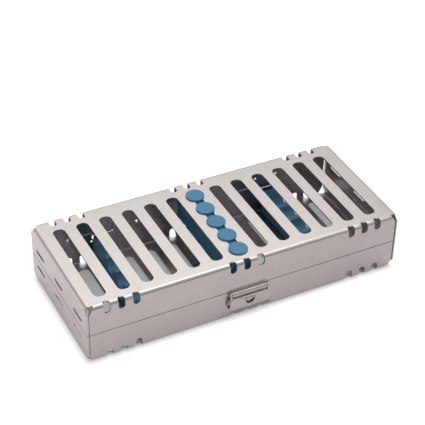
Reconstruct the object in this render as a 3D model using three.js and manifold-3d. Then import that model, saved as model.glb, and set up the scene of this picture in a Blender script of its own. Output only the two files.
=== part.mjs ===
// Dental instrument cassette: two folded steel shells hinged at the back, a front snap latch,
// a silicone clamp bar in the lid and two silicone rails that cradle five instruments in the base.
// Millimetres, +Z up, latch side towards -Y. The frame's origin is the middle of the underside.
import * as THREE from 'three';
import { mergeVertices } from 'three/addons/utils/BufferGeometryUtils.js';
import Module from 'manifold-3d';

const wasm = await Module();
wasm.setup();

// Folded shells
const caseLength = 180;
const caseWidth = 75;
const shellHeight = 17;
const sheet = 0.8;
const bendRadius = 2;
const partingGap = 0.4;
const cornerSlit = 0.6; // gap between the end bend and the long bend
const cornerSeam = 0.75; // gap between a long wall's edge and the end wall that covers it
const longCornerCut = 3; // slanting cut through the long bend at each corner
const longCornerDrop = 4;
const endCornerCut = 1.8; // chamfer on an end wall's corners, beside the bend

// Slots through the top and the floor
const slotsPerSide = 6;
const slotEndMargin = 12; // from the last slot's middle to the end
const slotSideMargin = 8.3; // from a slot's end to the side, before the shift
const slotWidth = 6.75;
const slotCornerShare = 0.42; // of the slot's width
const lidShiftX = -0.8; // of the slots and holes, from the middle of the shell
const lidShiftY = -1.3;
const baseShiftX = 0;
const baseShiftY = 1.5;

// Comb notches that wrap round the long bends
const combGroups = 3;
const combCount = 3; // in each group
const combGroupFromEnd = 20;
const combPitch = 8;
const combWidth = 3.7;
const combOnWall = 5.6; // from the plate's outer face
const lidCombFrontReach = 3; // on the plate, from the front wall
const lidCombBackReach = 5.8; // on the plate, from the back wall
const baseCombReach = 3;

// Slots in the end walls
const endSlotCount = 3;
const endSlotPitchShare = 0.34; // of the case's width
const endSlotLengthShare = 0.147;
const endSlotHeight = 1.8;
const endSlotFromRim = 5;

// Silicone clamp bar in the lid, with heads that stand through the lid
const stationCount = 5; // instruments, and so heads on the bar and cradles in a rail
const stationMargin = 6; // from the case's side to the first station's zone
const headSpacing = 2.4; // between two heads
const headHeight = 0.8;
const headRim = 0.3; // chamfer round a head
const headGap = 0.1; // under a head, to the sheet
const headFlange = 0.6; // head beyond its stem
const stemClearance = 0.3;
const neckWidth = 5.1; // steel cut-out between two heads
const barWidth = 15.4;
const barEndMargin = 1.5; // bar beyond the last stem's hole
const barAboveParting = 1.2;
const barArchLand = 2.2; // between two arches
const barArchRise = 1.8;
const siliconeSeat = 0.3; // gap between silicone and the sheet that it lies against

// Silicone rails in the base
const railSlotCount = 4; // slots from the middle to the one that a rail stands over
const railWidth = 10;
const railTopBelowParting = 1.2;
const railEndGap = 2.2; // to the long wall's inner face
const cradleLand = 3.2; // between two cradles
const cradleDepth = 5.6;
const footCount = 3;
const footStemLength = 10;
const footEndGap = 2.2; // spread over each foot's share of the slot
const footFlange = 0.95; // foot head beyond its stem, under the sheet
const footGap = 0.15; // over a foot's head, to the sheet

// Back hinges, rolled from the walls
const hingeFromEnd = 40; // a hinge's middle, from the case's end
const hingeLength = 40;
const hingeMiddle = 12;
const knuckleGap = 0.6;
const hingeEndGap = 0.8; // the cut-out's end beyond an outer knuckle
const hingePinRadius = 0.8;
const hingePinChamfer = 0.2;
const pinClearance = 0.25;
const hingeCut = 1.5; // height of the wall's cut-out round the other shell's knuckle
const notchWidth = 1.1; // relief notch in the base, at the outer end of a middle knuckle's cut-out
const notchHeight = 3;
const reliefRadius = 0.7; // round holes at the ends of a middle knuckle
const reliefFromKnuckle = 0.5;
const lidReliefHeight = 6.4;
const baseReliefHeight = 4.2; // at the outer end alone
const rollAngle = 325; // degrees

// Front latch
const latchPinRadius = 0.55;
const latchAxisBelowParting = 1.7;
const barrelWidth = 20.2;
const barrelGap = 0.25;
const windowMargin = 0.15; // beside the latch's plate
const windowDepth = 10.8;
const plateStandoff = 1.2; // from the pin's axis to the plate's inner face
const plateTopDrop = 1.5; // these drops are measured down from the pin's axis
const shoulderDrop = 3.7;
const lipDrop = 8.9;
const plateDrop = 10;
const plateTopMargin = 0.2; // beyond each end of the barrel
const shoulderMargin = 0.5; // plate beyond each ear
const lipFlare = 0.8;
const catchDrop = 3.5;
const catchWidth = 5.1;
const catchHeight = 3.8;
const pinHeadRadius = 1;
const pinHeadHeight = 0.35;
const pinHeadGap = 0.075; // to each ear of the latch

// Keeper behind the base's window, with the nib that the latch snaps on
const keeperLap = 2.7; // beyond each side of the window
const keeperTopBelowParting = 4.4;
const keeperBottomBelowParting = 14.2;
const keeperSeat = 0.3;
const nibMargin = 0.7; // smaller than the latch's hole all round
const nibClearance = 0.15; // behind the plate's inner face

const overrun = 1; // how far a cutting body runs past what it cuts
const bendSegments = 2; // an arc of an outline has twice as many sides
const endSegments = 2;
const rollSegments = 7;
const cradleSegments = 6;
const turnedSegments = 20; // round a pin or a head

// Places worked out from the sizes
const halfLength = caseLength / 2;
const halfWidth = caseWidth / 2;
const slotPitch = (halfLength - slotEndMargin) / slotsPerSide;
const slotLength = caseWidth - 2 * slotSideMargin;
const combGroupSpacing = halfLength - combGroupFromEnd;
const stationPitch = (caseWidth - 2 * stationMargin) / stationCount;
const headRadius = (stationPitch - headSpacing) / 2;
const stemRadius = headRadius - headFlange;
const cradleWidth = stationPitch - cradleLand;
const barArchWidth = stationPitch - barArchLand;
const footPitch = (slotLength - footStemLength) / (footCount - 1) - footEndGap;
const hingeSpacing = halfLength - hingeFromEnd;
const partingZ = headHeight + shellHeight + partingGap / 2;
const lidRimZ = partingZ + partingGap / 2;
const baseRimZ = partingZ - partingGap / 2;
const wallInner = halfWidth - sheet;
const longReach = halfLength - sheet - cornerSeam;
const holeRadius = stemRadius + stemClearance;
const hingeRoll = hingePinRadius + pinClearance + sheet;
const latchRoll = latchPinRadius + pinClearance + sheet;
const hingeAxisY = wallInner + hingeRoll;
const latchAxisY = -(wallInner + latchRoll);
const latchAxisZ = partingZ - latchAxisBelowParting;
const plateTopWidth = barrelWidth + 2 * plateTopMargin;
const plateWidth = barrelWidth + 2 * (barrelGap + sheet + shoulderMargin);
const windowWidth = plateWidth + 2 * windowMargin;
const keeperWidth = windowWidth + 2 * keeperLap;
const frontReach = -latchAxisY + plateStandoff + sheet + lipFlare;
const backReach = hingeAxisY + hingeRoll;
const frameShift = (frontReach - backReach) / 2;
const stations = row(stationCount, stationPitch).map((place) => place + lidShiftY);

const steel = { color: 0xcfc9c4, roughness: 0.42, metalness: 0.9, flatShading: true };
const pinSteel = { color: 0xb9b6b3, roughness: 0.3, metalness: 0.95, flatShading: true };
const silicone = { color: 0x4f93bb, roughness: 0.7, metalness: 0, flatShading: true };

// A closed geometry as a solid that can be cut and joined
function solidOf(geometry) {
  geometry.deleteAttribute('normal');
  geometry.deleteAttribute('uv');
  const merged = mergeVertices(geometry);
  return new wasm.Manifold(new wasm.Mesh({
    numProp: 3,
    vertProperties: new Float32Array(merged.attributes.position.array),
    triVerts: new Uint32Array(merged.index.array),
  }));
}

function geometryOf(solid) {
  const mesh = solid.getMesh();
  const geometry = new THREE.BufferGeometry();
  geometry.setAttribute('position', new THREE.BufferAttribute(mesh.vertProperties, 3));
  geometry.setIndex(new THREE.BufferAttribute(mesh.triVerts, 1));
  geometry.computeVertexNormals();
  return geometry;
}

function join(solids) {
  return solids.reduce((whole, next) => whole.add(next));
}

// Prisms: an outline in XY, YZ or XZ pushed along the third axis between two places
function prism(outline, from, to, segments = endSegments) {
  const options = { depth: to - from, bevelEnabled: false, curveSegments: segments };
  return new THREE.ExtrudeGeometry(outline, options).translate(0, 0, from);
}

function prismZ(outline, from, to, segments) {
  return solidOf(prism(outline, from, to, segments));
}

function prismX(outline, from, to, segments) {
  const turn = new THREE.Matrix4().set(0, 0, 1, 0, 1, 0, 0, 0, 0, 1, 0, 0, 0, 0, 0, 1);
  return solidOf(prism(outline, from, to, segments).applyMatrix4(turn));
}

function prismY(outline, from, to, segments) {
  return solidOf(prism(outline, -to, -from, segments).rotateX(Math.PI / 2));
}

function box(low, high) {
  const size = high.map((value, axis) => value - low[axis]);
  const centre = high.map((value, axis) => (value + low[axis]) / 2);
  return solidOf(new THREE.BoxGeometry(...size).translate(...centre));
}

function polygon(points) {
  return new THREE.Shape(points.map(([u, v]) => new THREE.Vector2(u, v)));
}

// Rectangle with round corners, centred on (u, v)
function roundedOutline(u, v, width, height, radius) {
  const [left, right] = [u - width / 2 + radius, u + width / 2 - radius];
  const [low, high] = [v - height / 2 + radius, v + height / 2 - radius];
  const outline = new THREE.Shape();
  outline.absarc(right, low, radius, -Math.PI / 2, 0);
  outline.absarc(right, high, radius, 0, Math.PI / 2);
  outline.absarc(left, high, radius, Math.PI / 2, Math.PI);
  outline.absarc(left, low, radius, Math.PI, 1.5 * Math.PI);
  outline.closePath();
  return outline;
}

function circle(u, v, radius) {
  const outline = new THREE.Shape();
  outline.absarc(u, v, radius, 0, 2 * Math.PI);
  return outline;
}

// A number of places at an even pitch, centred on zero
function row(count, pitch) {
  return Array.from({ length: count }, (_, index) => (index - (count - 1) / 2) * pitch);
}

// Folded channel, open downwards: two walls on the rim at zero and the plate that joins them
function channelOutline(half) {
  const outline = new THREE.Shape();
  const bend = shellHeight - bendRadius;
  outline.moveTo(-half, 0);
  outline.lineTo(-half + sheet, 0);
  outline.absarc(-half + bendRadius, bend, bendRadius - sheet, Math.PI, Math.PI / 2, true);
  outline.absarc(half - bendRadius, bend, bendRadius - sheet, Math.PI / 2, 0, true);
  outline.lineTo(half - sheet, 0);
  outline.lineTo(half, 0);
  outline.absarc(half - bendRadius, bend, bendRadius, 0, Math.PI / 2);
  outline.absarc(-half + bendRadius, bend, bendRadius, Math.PI / 2, Math.PI);
  outline.closePath();
  return outline;
}

function bendOutline(side) {
  const outline = new THREE.Shape();
  const [u, v] = [side * (halfWidth - bendRadius), shellHeight - bendRadius];
  const from = side > 0 ? 0 : Math.PI / 2;
  outline.absarc(u, v, bendRadius, from, from + Math.PI / 2);
  outline.absarc(u, v, bendRadius - sheet, from + Math.PI / 2, from, true);
  outline.closePath();
  return outline;
}

// One shell's bare sheet metal in its own frame: rim at zero, plate at shellHeight
function foldedBlank() {
  const bend = shellHeight - bendRadius;
  const long = [prismX(channelOutline(halfWidth), -halfLength + bendRadius, halfLength - bendRadius,
    bendSegments)];
  const ends = [prismY(channelOutline(halfLength), -halfWidth + bendRadius + cornerSlit,
    halfWidth - bendRadius - cornerSlit, bendSegments)];
  const endFace = polygon([[-halfWidth, 0], [halfWidth, 0], [halfWidth, bend - endCornerCut],
    [halfWidth - endCornerCut, bend], [-halfWidth + endCornerCut, bend], [-halfWidth, bend - endCornerCut]]);
  for (const side of [-1, 1]) {
    const [wallLow, wallHigh] = [side * wallInner, side * halfWidth].sort((a, b) => a - b);
    long.push(box([-longReach, wallLow, 0], [longReach, wallHigh, bend]));
    long.push(prismX(bendOutline(side), -longReach, longReach, bendSegments));
    const [endLow, endHigh] = [side * (halfLength - sheet), side * halfLength].sort((a, b) => a - b);
    ends.push(prismX(endFace, endLow, endHigh));
  }
  return join([join(long).subtract(longCornerCuts()), ...ends]);
}

function longCornerCuts() {
  const top = shellHeight + overrun;
  const [near, far] = [halfWidth - bendRadius, halfWidth + overrun];
  return join([-1, 1].flatMap((side) => {
    const outline = polygon([
      [side * (longReach + overrun), shellHeight - longCornerDrop], [side * (longReach + overrun), top],
      [side * (longReach - longCornerCut), top], [side * (longReach - longCornerCut), shellHeight],
      [side * longReach, shellHeight - longCornerDrop],
    ]);
    return [prismY(outline, near, far), prismY(outline, -far, -near)];
  }));
}

// Slots in the plate, without the middle column
function plateSlots(shiftX, shiftY) {
  const cuts = [];
  for (let index = 1; index <= slotsPerSide; index += 1) {
    for (const side of [-1, 1]) {
      const outline = roundedOutline(side * index * slotPitch + shiftX, shiftY, slotWidth, slotLength,
        slotWidth * slotCornerShare);
      cuts.push(prismZ(outline, shellHeight - sheet - overrun, shellHeight + overrun));
    }
  }
  return join(cuts);
}

function combNotches(shiftX, frontReach, backReach) {
  const cuts = [];
  for (const group of row(combGroups, combGroupSpacing)) {
    for (const step of row(combCount, combPitch)) {
      for (const side of [-1, 1]) {
        const x = group + step + shiftX;
        const onPlate = (side > 0 ? backReach : frontReach) + combWidth;
        const plateCentre = side * (halfWidth + combWidth - onPlate / 2);
        cuts.push(prismZ(roundedOutline(x, plateCentre, combWidth, onPlate, combWidth / 2),
          shellHeight - bendRadius, shellHeight + overrun));
        const onWall = combOnWall + combWidth;
        const wallCentre = shellHeight + combWidth - onWall / 2;
        const outline = roundedOutline(x, wallCentre, combWidth, onWall, combWidth / 2);
        const reach = [side * (wallInner - overrun), side * (halfWidth + overrun)];
        cuts.push(prismY(outline, Math.min(...reach), Math.max(...reach)));
      }
    }
  }
  return join(cuts);
}

function endWallSlots() {
  const cuts = [];
  for (const y of row(endSlotCount, caseWidth * endSlotPitchShare)) {
    const outline = roundedOutline(y, endSlotFromRim, caseWidth * endSlotLengthShare, endSlotHeight,
      endSlotHeight / 2);
    for (const side of [-1, 1]) {
      const reach = [side * (halfLength - sheet - overrun), side * (halfLength + overrun)];
      cuts.push(prismX(outline, Math.min(...reach), Math.max(...reach)));
    }
  }
  return join(cuts);
}

// Chain of round holes for the clamp bar's stems, linked by narrower necks
function stemChain() {
  const [low, high] = [shellHeight - sheet - overrun, shellHeight + overrun];
  const necks = box([lidShiftX - neckWidth / 2, stations[0], low],
    [lidShiftX + neckWidth / 2, stations[stationCount - 1], high]);
  const holes = stations.map((y) => (
    prismZ(circle(lidShiftX, y, holeRadius), low, high, turnedSegments / 2)
  ));
  return join([necks, ...holes]);
}

// Wall tab that runs down to an axis and rolls outwards round a pin, at the back of a shell
function rolledKnuckle(pinRadius, axisZ, left, right) {
  const outer = pinRadius + pinClearance + sheet;
  const axisY = wallInner + outer;
  const outline = new THREE.Shape();
  const end = Math.PI + THREE.MathUtils.degToRad(rollAngle);
  outline.absarc(axisY, axisZ, outer, Math.PI, end);
  outline.absarc(axisY, axisZ, outer - sheet, end, Math.PI, true);
  outline.closePath();
  const roll = prismX(outline, left, right, rollSegments);
  return roll.add(box([left, wallInner, axisZ], [right, halfWidth, sheet]));
}

function hingeZones(inner) {
  const zones = [];
  for (const centre of [-hingeSpacing, hingeSpacing]) {
    if (inner) {
      zones.push([centre - hingeMiddle / 2, centre + hingeMiddle / 2]);
    } else {
      zones.push([centre - hingeLength / 2, centre - hingeMiddle / 2]);
      zones.push([centre + hingeMiddle / 2, centre + hingeLength / 2]);
    }
  }
  return zones;
}

// A shell with its hinge knuckles: the lid has the middle ones, the base the outer ones
function hingedShell(hasMiddleKnuckles, shiftX, shiftY, combReaches) {
  let shell = foldedBlank();
  const endGap = hasMiddleKnuckles ? hingeEndGap : knuckleGap / 2;
  for (const [left, right] of hingeZones(!hasMiddleKnuckles)) {
    const middle = Math.sign(left + right) * hingeSpacing;
    const [low, high] = [left < middle ? endGap : knuckleGap / 2, right > middle ? endGap : knuckleGap / 2];
    shell = shell.subtract(box([left - low, wallInner - overrun, -overrun],
      [right + high, halfWidth + overrun, hingeCut]));
  }
  for (const [left, right] of hingeZones(hasMiddleKnuckles)) {
    const knuckle = rolledKnuckle(hingePinRadius, -partingGap / 2, left + knuckleGap / 2,
      right - knuckleGap / 2);
    shell = shell.add(knuckle);
  }
  const reliefs = hasMiddleKnuckles ? lidReliefs() : baseReliefs();
  return [plateSlots(shiftX, shiftY), combNotches(shiftX, ...combReaches), endWallSlots(), reliefs]
    .reduce((rest, cut) => rest.subtract(cut), shell);
}

function reliefHole(x, height) {
  return prismY(circle(x, height, reliefRadius), wallInner - overrun, halfWidth + overrun, bendSegments);
}

function lidReliefs() {
  const reach = hingeMiddle / 2 + reliefFromKnuckle;
  return join([-1, 1].flatMap((side) => [-reach, reach].map((step) => (
    reliefHole(side * hingeSpacing + step, lidReliefHeight)
  ))));
}

function baseReliefs() {
  const knuckleEnd = hingeSpacing + hingeMiddle / 2;
  const cutEnd = knuckleEnd + knuckleGap / 2;
  return join([-1, 1].flatMap((side) => {
    const [left, right] = [side * cutEnd, side * (cutEnd - notchWidth)].sort((a, b) => a - b);
    return [
      reliefHole(side * (knuckleEnd + reliefFromKnuckle), baseReliefHeight),
      box([left, wallInner - overrun, -overrun], [right, halfWidth + overrun, notchHeight]),
    ];
  }));
}

function lidShell() {
  const axisZ = latchAxisZ - lidRimZ;
  const barrel = rolledKnuckle(latchPinRadius, axisZ, -barrelWidth / 2, barrelWidth / 2);
  const combReaches = [lidCombFrontReach, lidCombBackReach];
  const shell = hingedShell(true, lidShiftX, lidShiftY, combReaches).subtract(stemChain());
  return geometryOf(shell.add(barrel.rotate([0, 0, 180])));
}

// The base is built like the lid and turned over about Y, so what lies to its right is built on the left
function baseShell() {
  const window = box([-windowWidth / 2, -halfWidth - overrun, -overrun],
    [windowWidth / 2, -wallInner + overrun, windowDepth]);
  const combReaches = [baseCombReach, baseCombReach];
  return geometryOf(hingedShell(false, -baseShiftX, baseShiftY, combReaches).subtract(window));
}

// Bar that hangs under the lid: arches over the instruments, stems and heads through the lid
function clampBar() {
  const top = lidRimZ + shellHeight - sheet - siliconeSeat;
  const bottom = partingZ + barAboveParting;
  const [front, back] = [stations[0] - holeRadius - barEndMargin,
    stations[stationCount - 1] + holeRadius + barEndMargin];
  const archRadius = (barArchWidth ** 2 / 4 + barArchRise ** 2) / (2 * barArchRise);
  const archAngle = Math.asin(barArchWidth / 2 / archRadius);
  const outline = new THREE.Shape();
  outline.moveTo(front, top);
  outline.lineTo(front, bottom);
  for (const y of stations) {
    outline.absarc(y, bottom + barArchRise - archRadius, archRadius,
      Math.PI / 2 + archAngle, Math.PI / 2 - archAngle, true);
  }
  outline.lineTo(back, bottom);
  outline.lineTo(back, top);
  outline.closePath();
  const bar = prismX(outline, lidShiftX - barWidth / 2, lidShiftX + barWidth / 2);
  return geometryOf(join([bar, ...stations.map((y) => clampHead(y, top))]));
}

function clampHead(y, barTop) {
  const seat = lidRimZ + shellHeight;
  const profile = [
    [0, barTop - overrun], [stemRadius, barTop - overrun], [stemRadius, seat + headGap],
    [headRadius, seat + headGap], [headRadius, seat + headHeight - headRim],
    [headRadius - headRim, seat + headHeight], [0, seat + headHeight],
  ].map(([radius, z]) => new THREE.Vector2(radius, z));
  const turned = new THREE.LatheGeometry(profile, turnedSegments).rotateX(Math.PI / 2);
  return solidOf(turned.translate(lidShiftX, y, 0));
}

// Rail with a cradle for each instrument, and feet that go through the floor slot under it
function instrumentRail(side) {
  const x = side * railSlotCount * slotPitch + baseShiftX;
  const top = partingZ - railTopBelowParting;
  const bottom = headHeight + sheet + siliconeSeat;
  const reach = wallInner - railEndGap;
  const radius = cradleWidth / 2;
  const outline = new THREE.Shape();
  outline.moveTo(-reach, bottom);
  outline.lineTo(reach, bottom);
  outline.lineTo(reach, top);
  for (const y of [...stations].reverse()) {
    outline.lineTo(y + radius, top);
    outline.absarc(y, top - cradleDepth + radius, radius, 0, -Math.PI, true);
    outline.lineTo(y - radius, top);
  }
  outline.lineTo(-reach, top);
  outline.closePath();
  const body = prismX(outline, x - railWidth / 2, x + railWidth / 2, cradleSegments);
  const stemWidth = slotWidth - 2 * siliconeSeat;
  const footTop = headHeight - footGap;
  const feet = row(footCount, footPitch).map((place) => place + baseShiftY).flatMap((y) => [
    prismZ(roundedOutline(x, y, stemWidth, footStemLength, stemWidth * slotCornerShare),
      footTop / 2, bottom + overrun),
    prismZ(roundedOutline(x, y, stemWidth + 2 * footFlange, footStemLength + 2 * footFlange,
      (stemWidth + 2 * footFlange) * slotCornerShare), 0, footTop),
  ]);
  return geometryOf(join([body, ...feet]));
}

// Pin along X, centred on the origin, with optional flat heads
function pinGeometry(radius, length, headReach) {
  const half = length / 2;
  const points = headReach
    ? [[0, -half - pinHeadHeight], [headReach, -half - pinHeadHeight], [headReach, -half], [radius, -half],
      [radius, half], [headReach, half], [headReach, half + pinHeadHeight], [0, half + pinHeadHeight]]
    : [[0, -half], [radius - hingePinChamfer, -half], [radius, -half + hingePinChamfer],
      [radius, half - hingePinChamfer], [radius - hingePinChamfer, half], [0, half]];
  const profile = points.map(([r, along]) => new THREE.Vector2(r, along));
  const geometry = new THREE.LatheGeometry(profile, turnedSegments).rotateZ(-Math.PI / 2);
  return geometryOf(solidOf(geometry));
}

// Half-moon, flat side up, hanging from (0, top)
function halfMoon(top, width, height) {
  const radius = (width ** 2 / 4 + height ** 2) / (2 * height);
  const low = top - height + radius;
  const angle = Math.asin((top - low) / radius);
  const outline = new THREE.Shape();
  outline.absarc(0, low, radius, Math.PI - angle, 2 * Math.PI + angle);
  outline.closePath();
  return outline;
}

// Latch in its own frame: the pin's axis is X through the origin and the plate hangs down in front
function latchPlate() {
  const [outerFace, innerFace] = [-plateStandoff - sheet, -plateStandoff];
  const face = polygon([
    [-plateTopWidth / 2, -plateTopDrop], [-plateWidth / 2, -shoulderDrop], [-plateWidth / 2, -lipDrop],
    [plateWidth / 2, -lipDrop], [plateWidth / 2, -shoulderDrop], [plateTopWidth / 2, -plateTopDrop],
  ]);
  const plate = prismY(face, outerFace, innerFace);
  const lip = polygon([
    [outerFace, -lipDrop], [outerFace - lipFlare, -plateDrop], [innerFace - lipFlare, -plateDrop],
    [innerFace, -lipDrop], [innerFace, -lipDrop + sheet], [outerFace, -lipDrop + sheet],
  ]);
  const flare = prismX(lip, -plateWidth / 2, plateWidth / 2);
  const hole = prismY(halfMoon(-catchDrop, catchWidth, catchHeight), outerFace - overrun,
    innerFace + overrun, rollSegments);
  const earInner = barrelWidth / 2 + barrelGap;
  const ears = [-1, 1].map((side) => {
    const reach = [side * earInner, side * (earInner + sheet)];
    return prismX(earOutline(outerFace, innerFace), Math.min(...reach), Math.max(...reach), rollSegments);
  });
  return geometryOf(join([plate, flare, ...ears]).subtract(hole));
}

function earOutline(outerFace, innerFace) {
  const outline = new THREE.Shape();
  outline.absarc(0, 0, latchRoll, 0, Math.PI);
  outline.lineTo(outerFace, -shoulderDrop);
  outline.lineTo(outerFace, -shoulderDrop - sheet);
  outline.lineTo(innerFace, -shoulderDrop - sheet);
  outline.closePath();
  const bore = new THREE.Path();
  bore.absarc(0, 0, latchPinRadius + pinClearance, 0, 2 * Math.PI);
  outline.holes.push(bore);
  return outline;
}

// Strip inside the front wall that backs the window and carries the nib
function latchKeeper() {
  const front = -wallInner + keeperSeat;
  const strip = box([-keeperWidth / 2, front, partingZ - keeperBottomBelowParting],
    [keeperWidth / 2, front + sheet, partingZ - keeperTopBelowParting]);
  const nibFace = latchAxisY - plateStandoff + nibClearance;
  const nibTop = latchAxisZ - catchDrop - nibMargin;
  const outline = halfMoon(nibTop, catchWidth - 2 * nibMargin, catchHeight - 2 * nibMargin);
  return geometryOf(strip.add(prismY(outline, nibFace, front + sheet / 2, rollSegments)));
}

function piece(name, geometry, look) {
  const mesh = new THREE.Mesh(geometry, new THREE.MeshStandardMaterial(look));
  mesh.name = name;
  return mesh;
}

const base = new THREE.Group();
const baseSteel = piece('base_shell', baseShell(), steel);
baseSteel.rotation.y = Math.PI;
baseSteel.position.z = baseRimZ;
base.add(baseSteel);
base.add(piece('left_instrument_rail', instrumentRail(-1), silicone));
base.add(piece('right_instrument_rail', instrumentRail(1), silicone));
base.add(piece('latch_keeper', latchKeeper(), steel));
for (const [name, side] of [['left_hinge_pin', -1], ['right_hinge_pin', 1]]) {
  const pin = piece(name, pinGeometry(hingePinRadius, hingeLength - knuckleGap), pinSteel);
  pin.position.set(side * hingeSpacing, hingeAxisY, partingZ);
  base.add(pin);
}

const lid = new THREE.Group();
const lidSteel = piece('lid_shell', lidShell(), steel);
lidSteel.position.z = lidRimZ;
lid.add(lidSteel);
lid.add(piece('lid_clamp_bar', clampBar(), silicone));

const latch = new THREE.Group();
latch.position.set(0, latchAxisY, latchAxisZ);
latch.add(piece('latch_plate', latchPlate(), steel));
const latchPinLength = barrelWidth + 2 * (barrelGap + sheet + pinHeadGap);
latch.add(piece('latch_pin', pinGeometry(latchPinRadius, latchPinLength, pinHeadRadius), pinSteel));
lid.add(latch);

const cassette = new THREE.Group();
cassette.position.y = frameShift;
cassette.add(base, lid);

export default cassette;
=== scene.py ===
import math

import bmesh
import bpy
from mathutils import Matrix, Vector


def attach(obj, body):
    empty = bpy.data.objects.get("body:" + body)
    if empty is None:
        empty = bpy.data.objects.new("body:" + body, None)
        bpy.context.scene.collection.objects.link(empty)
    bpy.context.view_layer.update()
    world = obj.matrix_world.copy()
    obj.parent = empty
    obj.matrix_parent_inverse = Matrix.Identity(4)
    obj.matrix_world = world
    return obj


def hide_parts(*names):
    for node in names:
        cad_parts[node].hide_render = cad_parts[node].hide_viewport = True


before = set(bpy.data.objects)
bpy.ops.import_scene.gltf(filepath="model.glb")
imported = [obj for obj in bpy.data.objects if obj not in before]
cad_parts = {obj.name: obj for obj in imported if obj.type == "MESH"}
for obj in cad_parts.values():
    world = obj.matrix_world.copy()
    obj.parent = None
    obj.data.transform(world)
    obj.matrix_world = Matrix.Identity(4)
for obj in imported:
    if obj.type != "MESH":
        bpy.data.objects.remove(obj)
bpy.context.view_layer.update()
mm = 0.001
print("frame loaded:", ", ".join(sorted(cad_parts)))


# node trees: one class for a socket in a sum, one for the tree it stands in

class Wire:
    def __init__(self, graph, socket):
        self.graph, self.socket = graph, socket

    def maths(self, operation, *others):
        return self.graph.add("ShaderNodeMath", {"operation": operation}, [self, *others])

    def __add__(self, other):
        return self.maths("ADD", other)

    def __sub__(self, other):
        return self.maths("SUBTRACT", other)

    def __mul__(self, other):
        return self.maths("MULTIPLY", other)

    def __truediv__(self, other):
        return self.maths("DIVIDE", other)

    def __rsub__(self, other):
        return self.graph.add("ShaderNodeMath", {"operation": "SUBTRACT"}, [other, self])

    __radd__ = __add__
    __rmul__ = __mul__

    def clamped(self):
        return self.graph.add("ShaderNodeClamp", {}, {"Value": self})


class Graph:
    def __init__(self, tree):
        self.tree = tree

    def add(self, kind, settings=None, values=None, output=0):
        node = self.tree.nodes.new(kind)
        for name, value in (settings or {}).items():
            setattr(node, name, value)
        pairs = values.items() if isinstance(values, dict) else enumerate(values or [])
        for key, value in pairs:
            socket = node.inputs[key]
            for one in value if isinstance(value, list) else [value]:
                if isinstance(one, Wire):
                    self.tree.links.new(one.socket, socket)
                else:
                    socket.default_value = one
        return Wire(self, node.outputs[output]) if node.outputs else None

    def groupInputs(self):
        entry = self.tree.nodes.new("NodeGroupInput")
        return {socket.name: Wire(self, socket) for socket in entry.outputs if socket.name}

    def mixColours(self, factor, first, second, blend="MIX"):
        return self.add("ShaderNodeMix", {"data_type": "RGBA", "blend_type": blend},
                        {0: factor, 6: first, 7: second}, output=2)


# meshes

def plainObject(name, mesh):
    piece = bpy.data.objects.new(name, mesh)
    bpy.context.scene.collection.objects.link(piece)
    return piece


def meshFrom(name, points, faces, edges=()):
    mesh = bpy.data.meshes.new(name)
    mesh.from_pydata([tuple(c * mm for c in p) for p in points], list(edges), faces)
    return mesh


def faceOutwards(mesh):
    work = bmesh.new()
    work.from_mesh(mesh)
    bmesh.ops.recalc_face_normals(work, faces=work.faces)
    work.to_mesh(mesh)
    work.free()


def shadeByAngle(mesh, angle=50):  # smooth, but for edges sharper than the angle
    mesh.shade_smooth()
    mesh.set_sharp_from_angle(angle=math.radians(angle))


def settle(piece):  # the modifiers' result becomes the mesh
    result = bpy.data.meshes.new_from_object(piece.evaluated_get(bpy.context.evaluated_depsgraph_get()))
    piece.modifiers.clear()
    piece.data = result
    return piece


def soften(piece, width, segments=2, sharpAngle=35):
    bevel = piece.modifiers.new("softEdges", "BEVEL")
    bevel.width, bevel.segments = width * mm, segments
    bevel.limit_method, bevel.angle_limit = "ANGLE", math.radians(sharpAngle)
    bevel.miter_outer = "MITER_ARC"
    settle(piece)
    shadeByAngle(piece.data)
    weighted = piece.modifiers.new("flatFaces", "WEIGHTED_NORMAL")
    weighted.keep_sharp = True
    return settle(piece)


def roundCorners(points, steps=4):  # a point is (u, v) or (u, v, radius)
    loop = []
    for index, point in enumerate(points):
        here = Vector(point[:2])
        before = (Vector(points[index - 1][:2]) - here).normalized()
        after = (Vector(points[(index + 1) % len(points)][:2]) - here).normalized()
        half = before.angle(after) / 2
        radius = point[2] if len(point) > 2 else 0
        if radius == 0 or half > 1.57:
            loop.append(here)
            continue
        centre = here + (before + after).normalized() * radius / math.sin(half)
        first = here + before * radius / math.tan(half) - centre
        turn = first.angle_signed(here + after * radius / math.tan(half) - centre)
        for step in range(steps + 1):
            loop.append(centre + Matrix.Rotation(-turn * step / steps, 2) @ first)
    return [tuple(p) for i, p in enumerate(loop) if (p - loop[i - 1]).length > 1e-4]


def prism(name, loop, low, high, place):  # place(u, v, w) puts the loop's plane and its depth
    count = len(loop)
    points = [place(u, v, low) for u, v in loop] + [place(u, v, high) for u, v in loop]
    faces = [tuple(range(count))[::-1], tuple(range(count, 2 * count))]
    faces += [(i, (i + 1) % count, (i + 1) % count + count, i + count) for i in range(count)]
    mesh = meshFrom(name, points, faces)
    faceOutwards(mesh)
    return plainObject(name, mesh)


def lathe(name, profile, place, steps=64):  # profile of (radius, along), from pole to pole
    points, faces = [], []
    rings = []
    for radius, along in profile:
        if radius == 0:
            rings.append([len(points)])
            points.append(place(0, 0, along))
            continue
        rings.append(list(range(len(points), len(points) + steps)))
        turns = [2 * math.pi * i / steps for i in range(steps)]
        points += [place(radius * math.cos(t), radius * math.sin(t), along) for t in turns]
    for low, high in zip(rings, rings[1:]):
        for i in range(steps):
            j = (i + 1) % steps
            corners = [low[i % len(low)], low[j % len(low)], high[j % len(high)], high[i % len(high)]]
            faces.append(tuple(dict.fromkeys(corners)))
    mesh = meshFrom(name, points, faces)
    faceOutwards(mesh)
    shadeByAngle(mesh)
    return plainObject(name, mesh)


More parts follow.
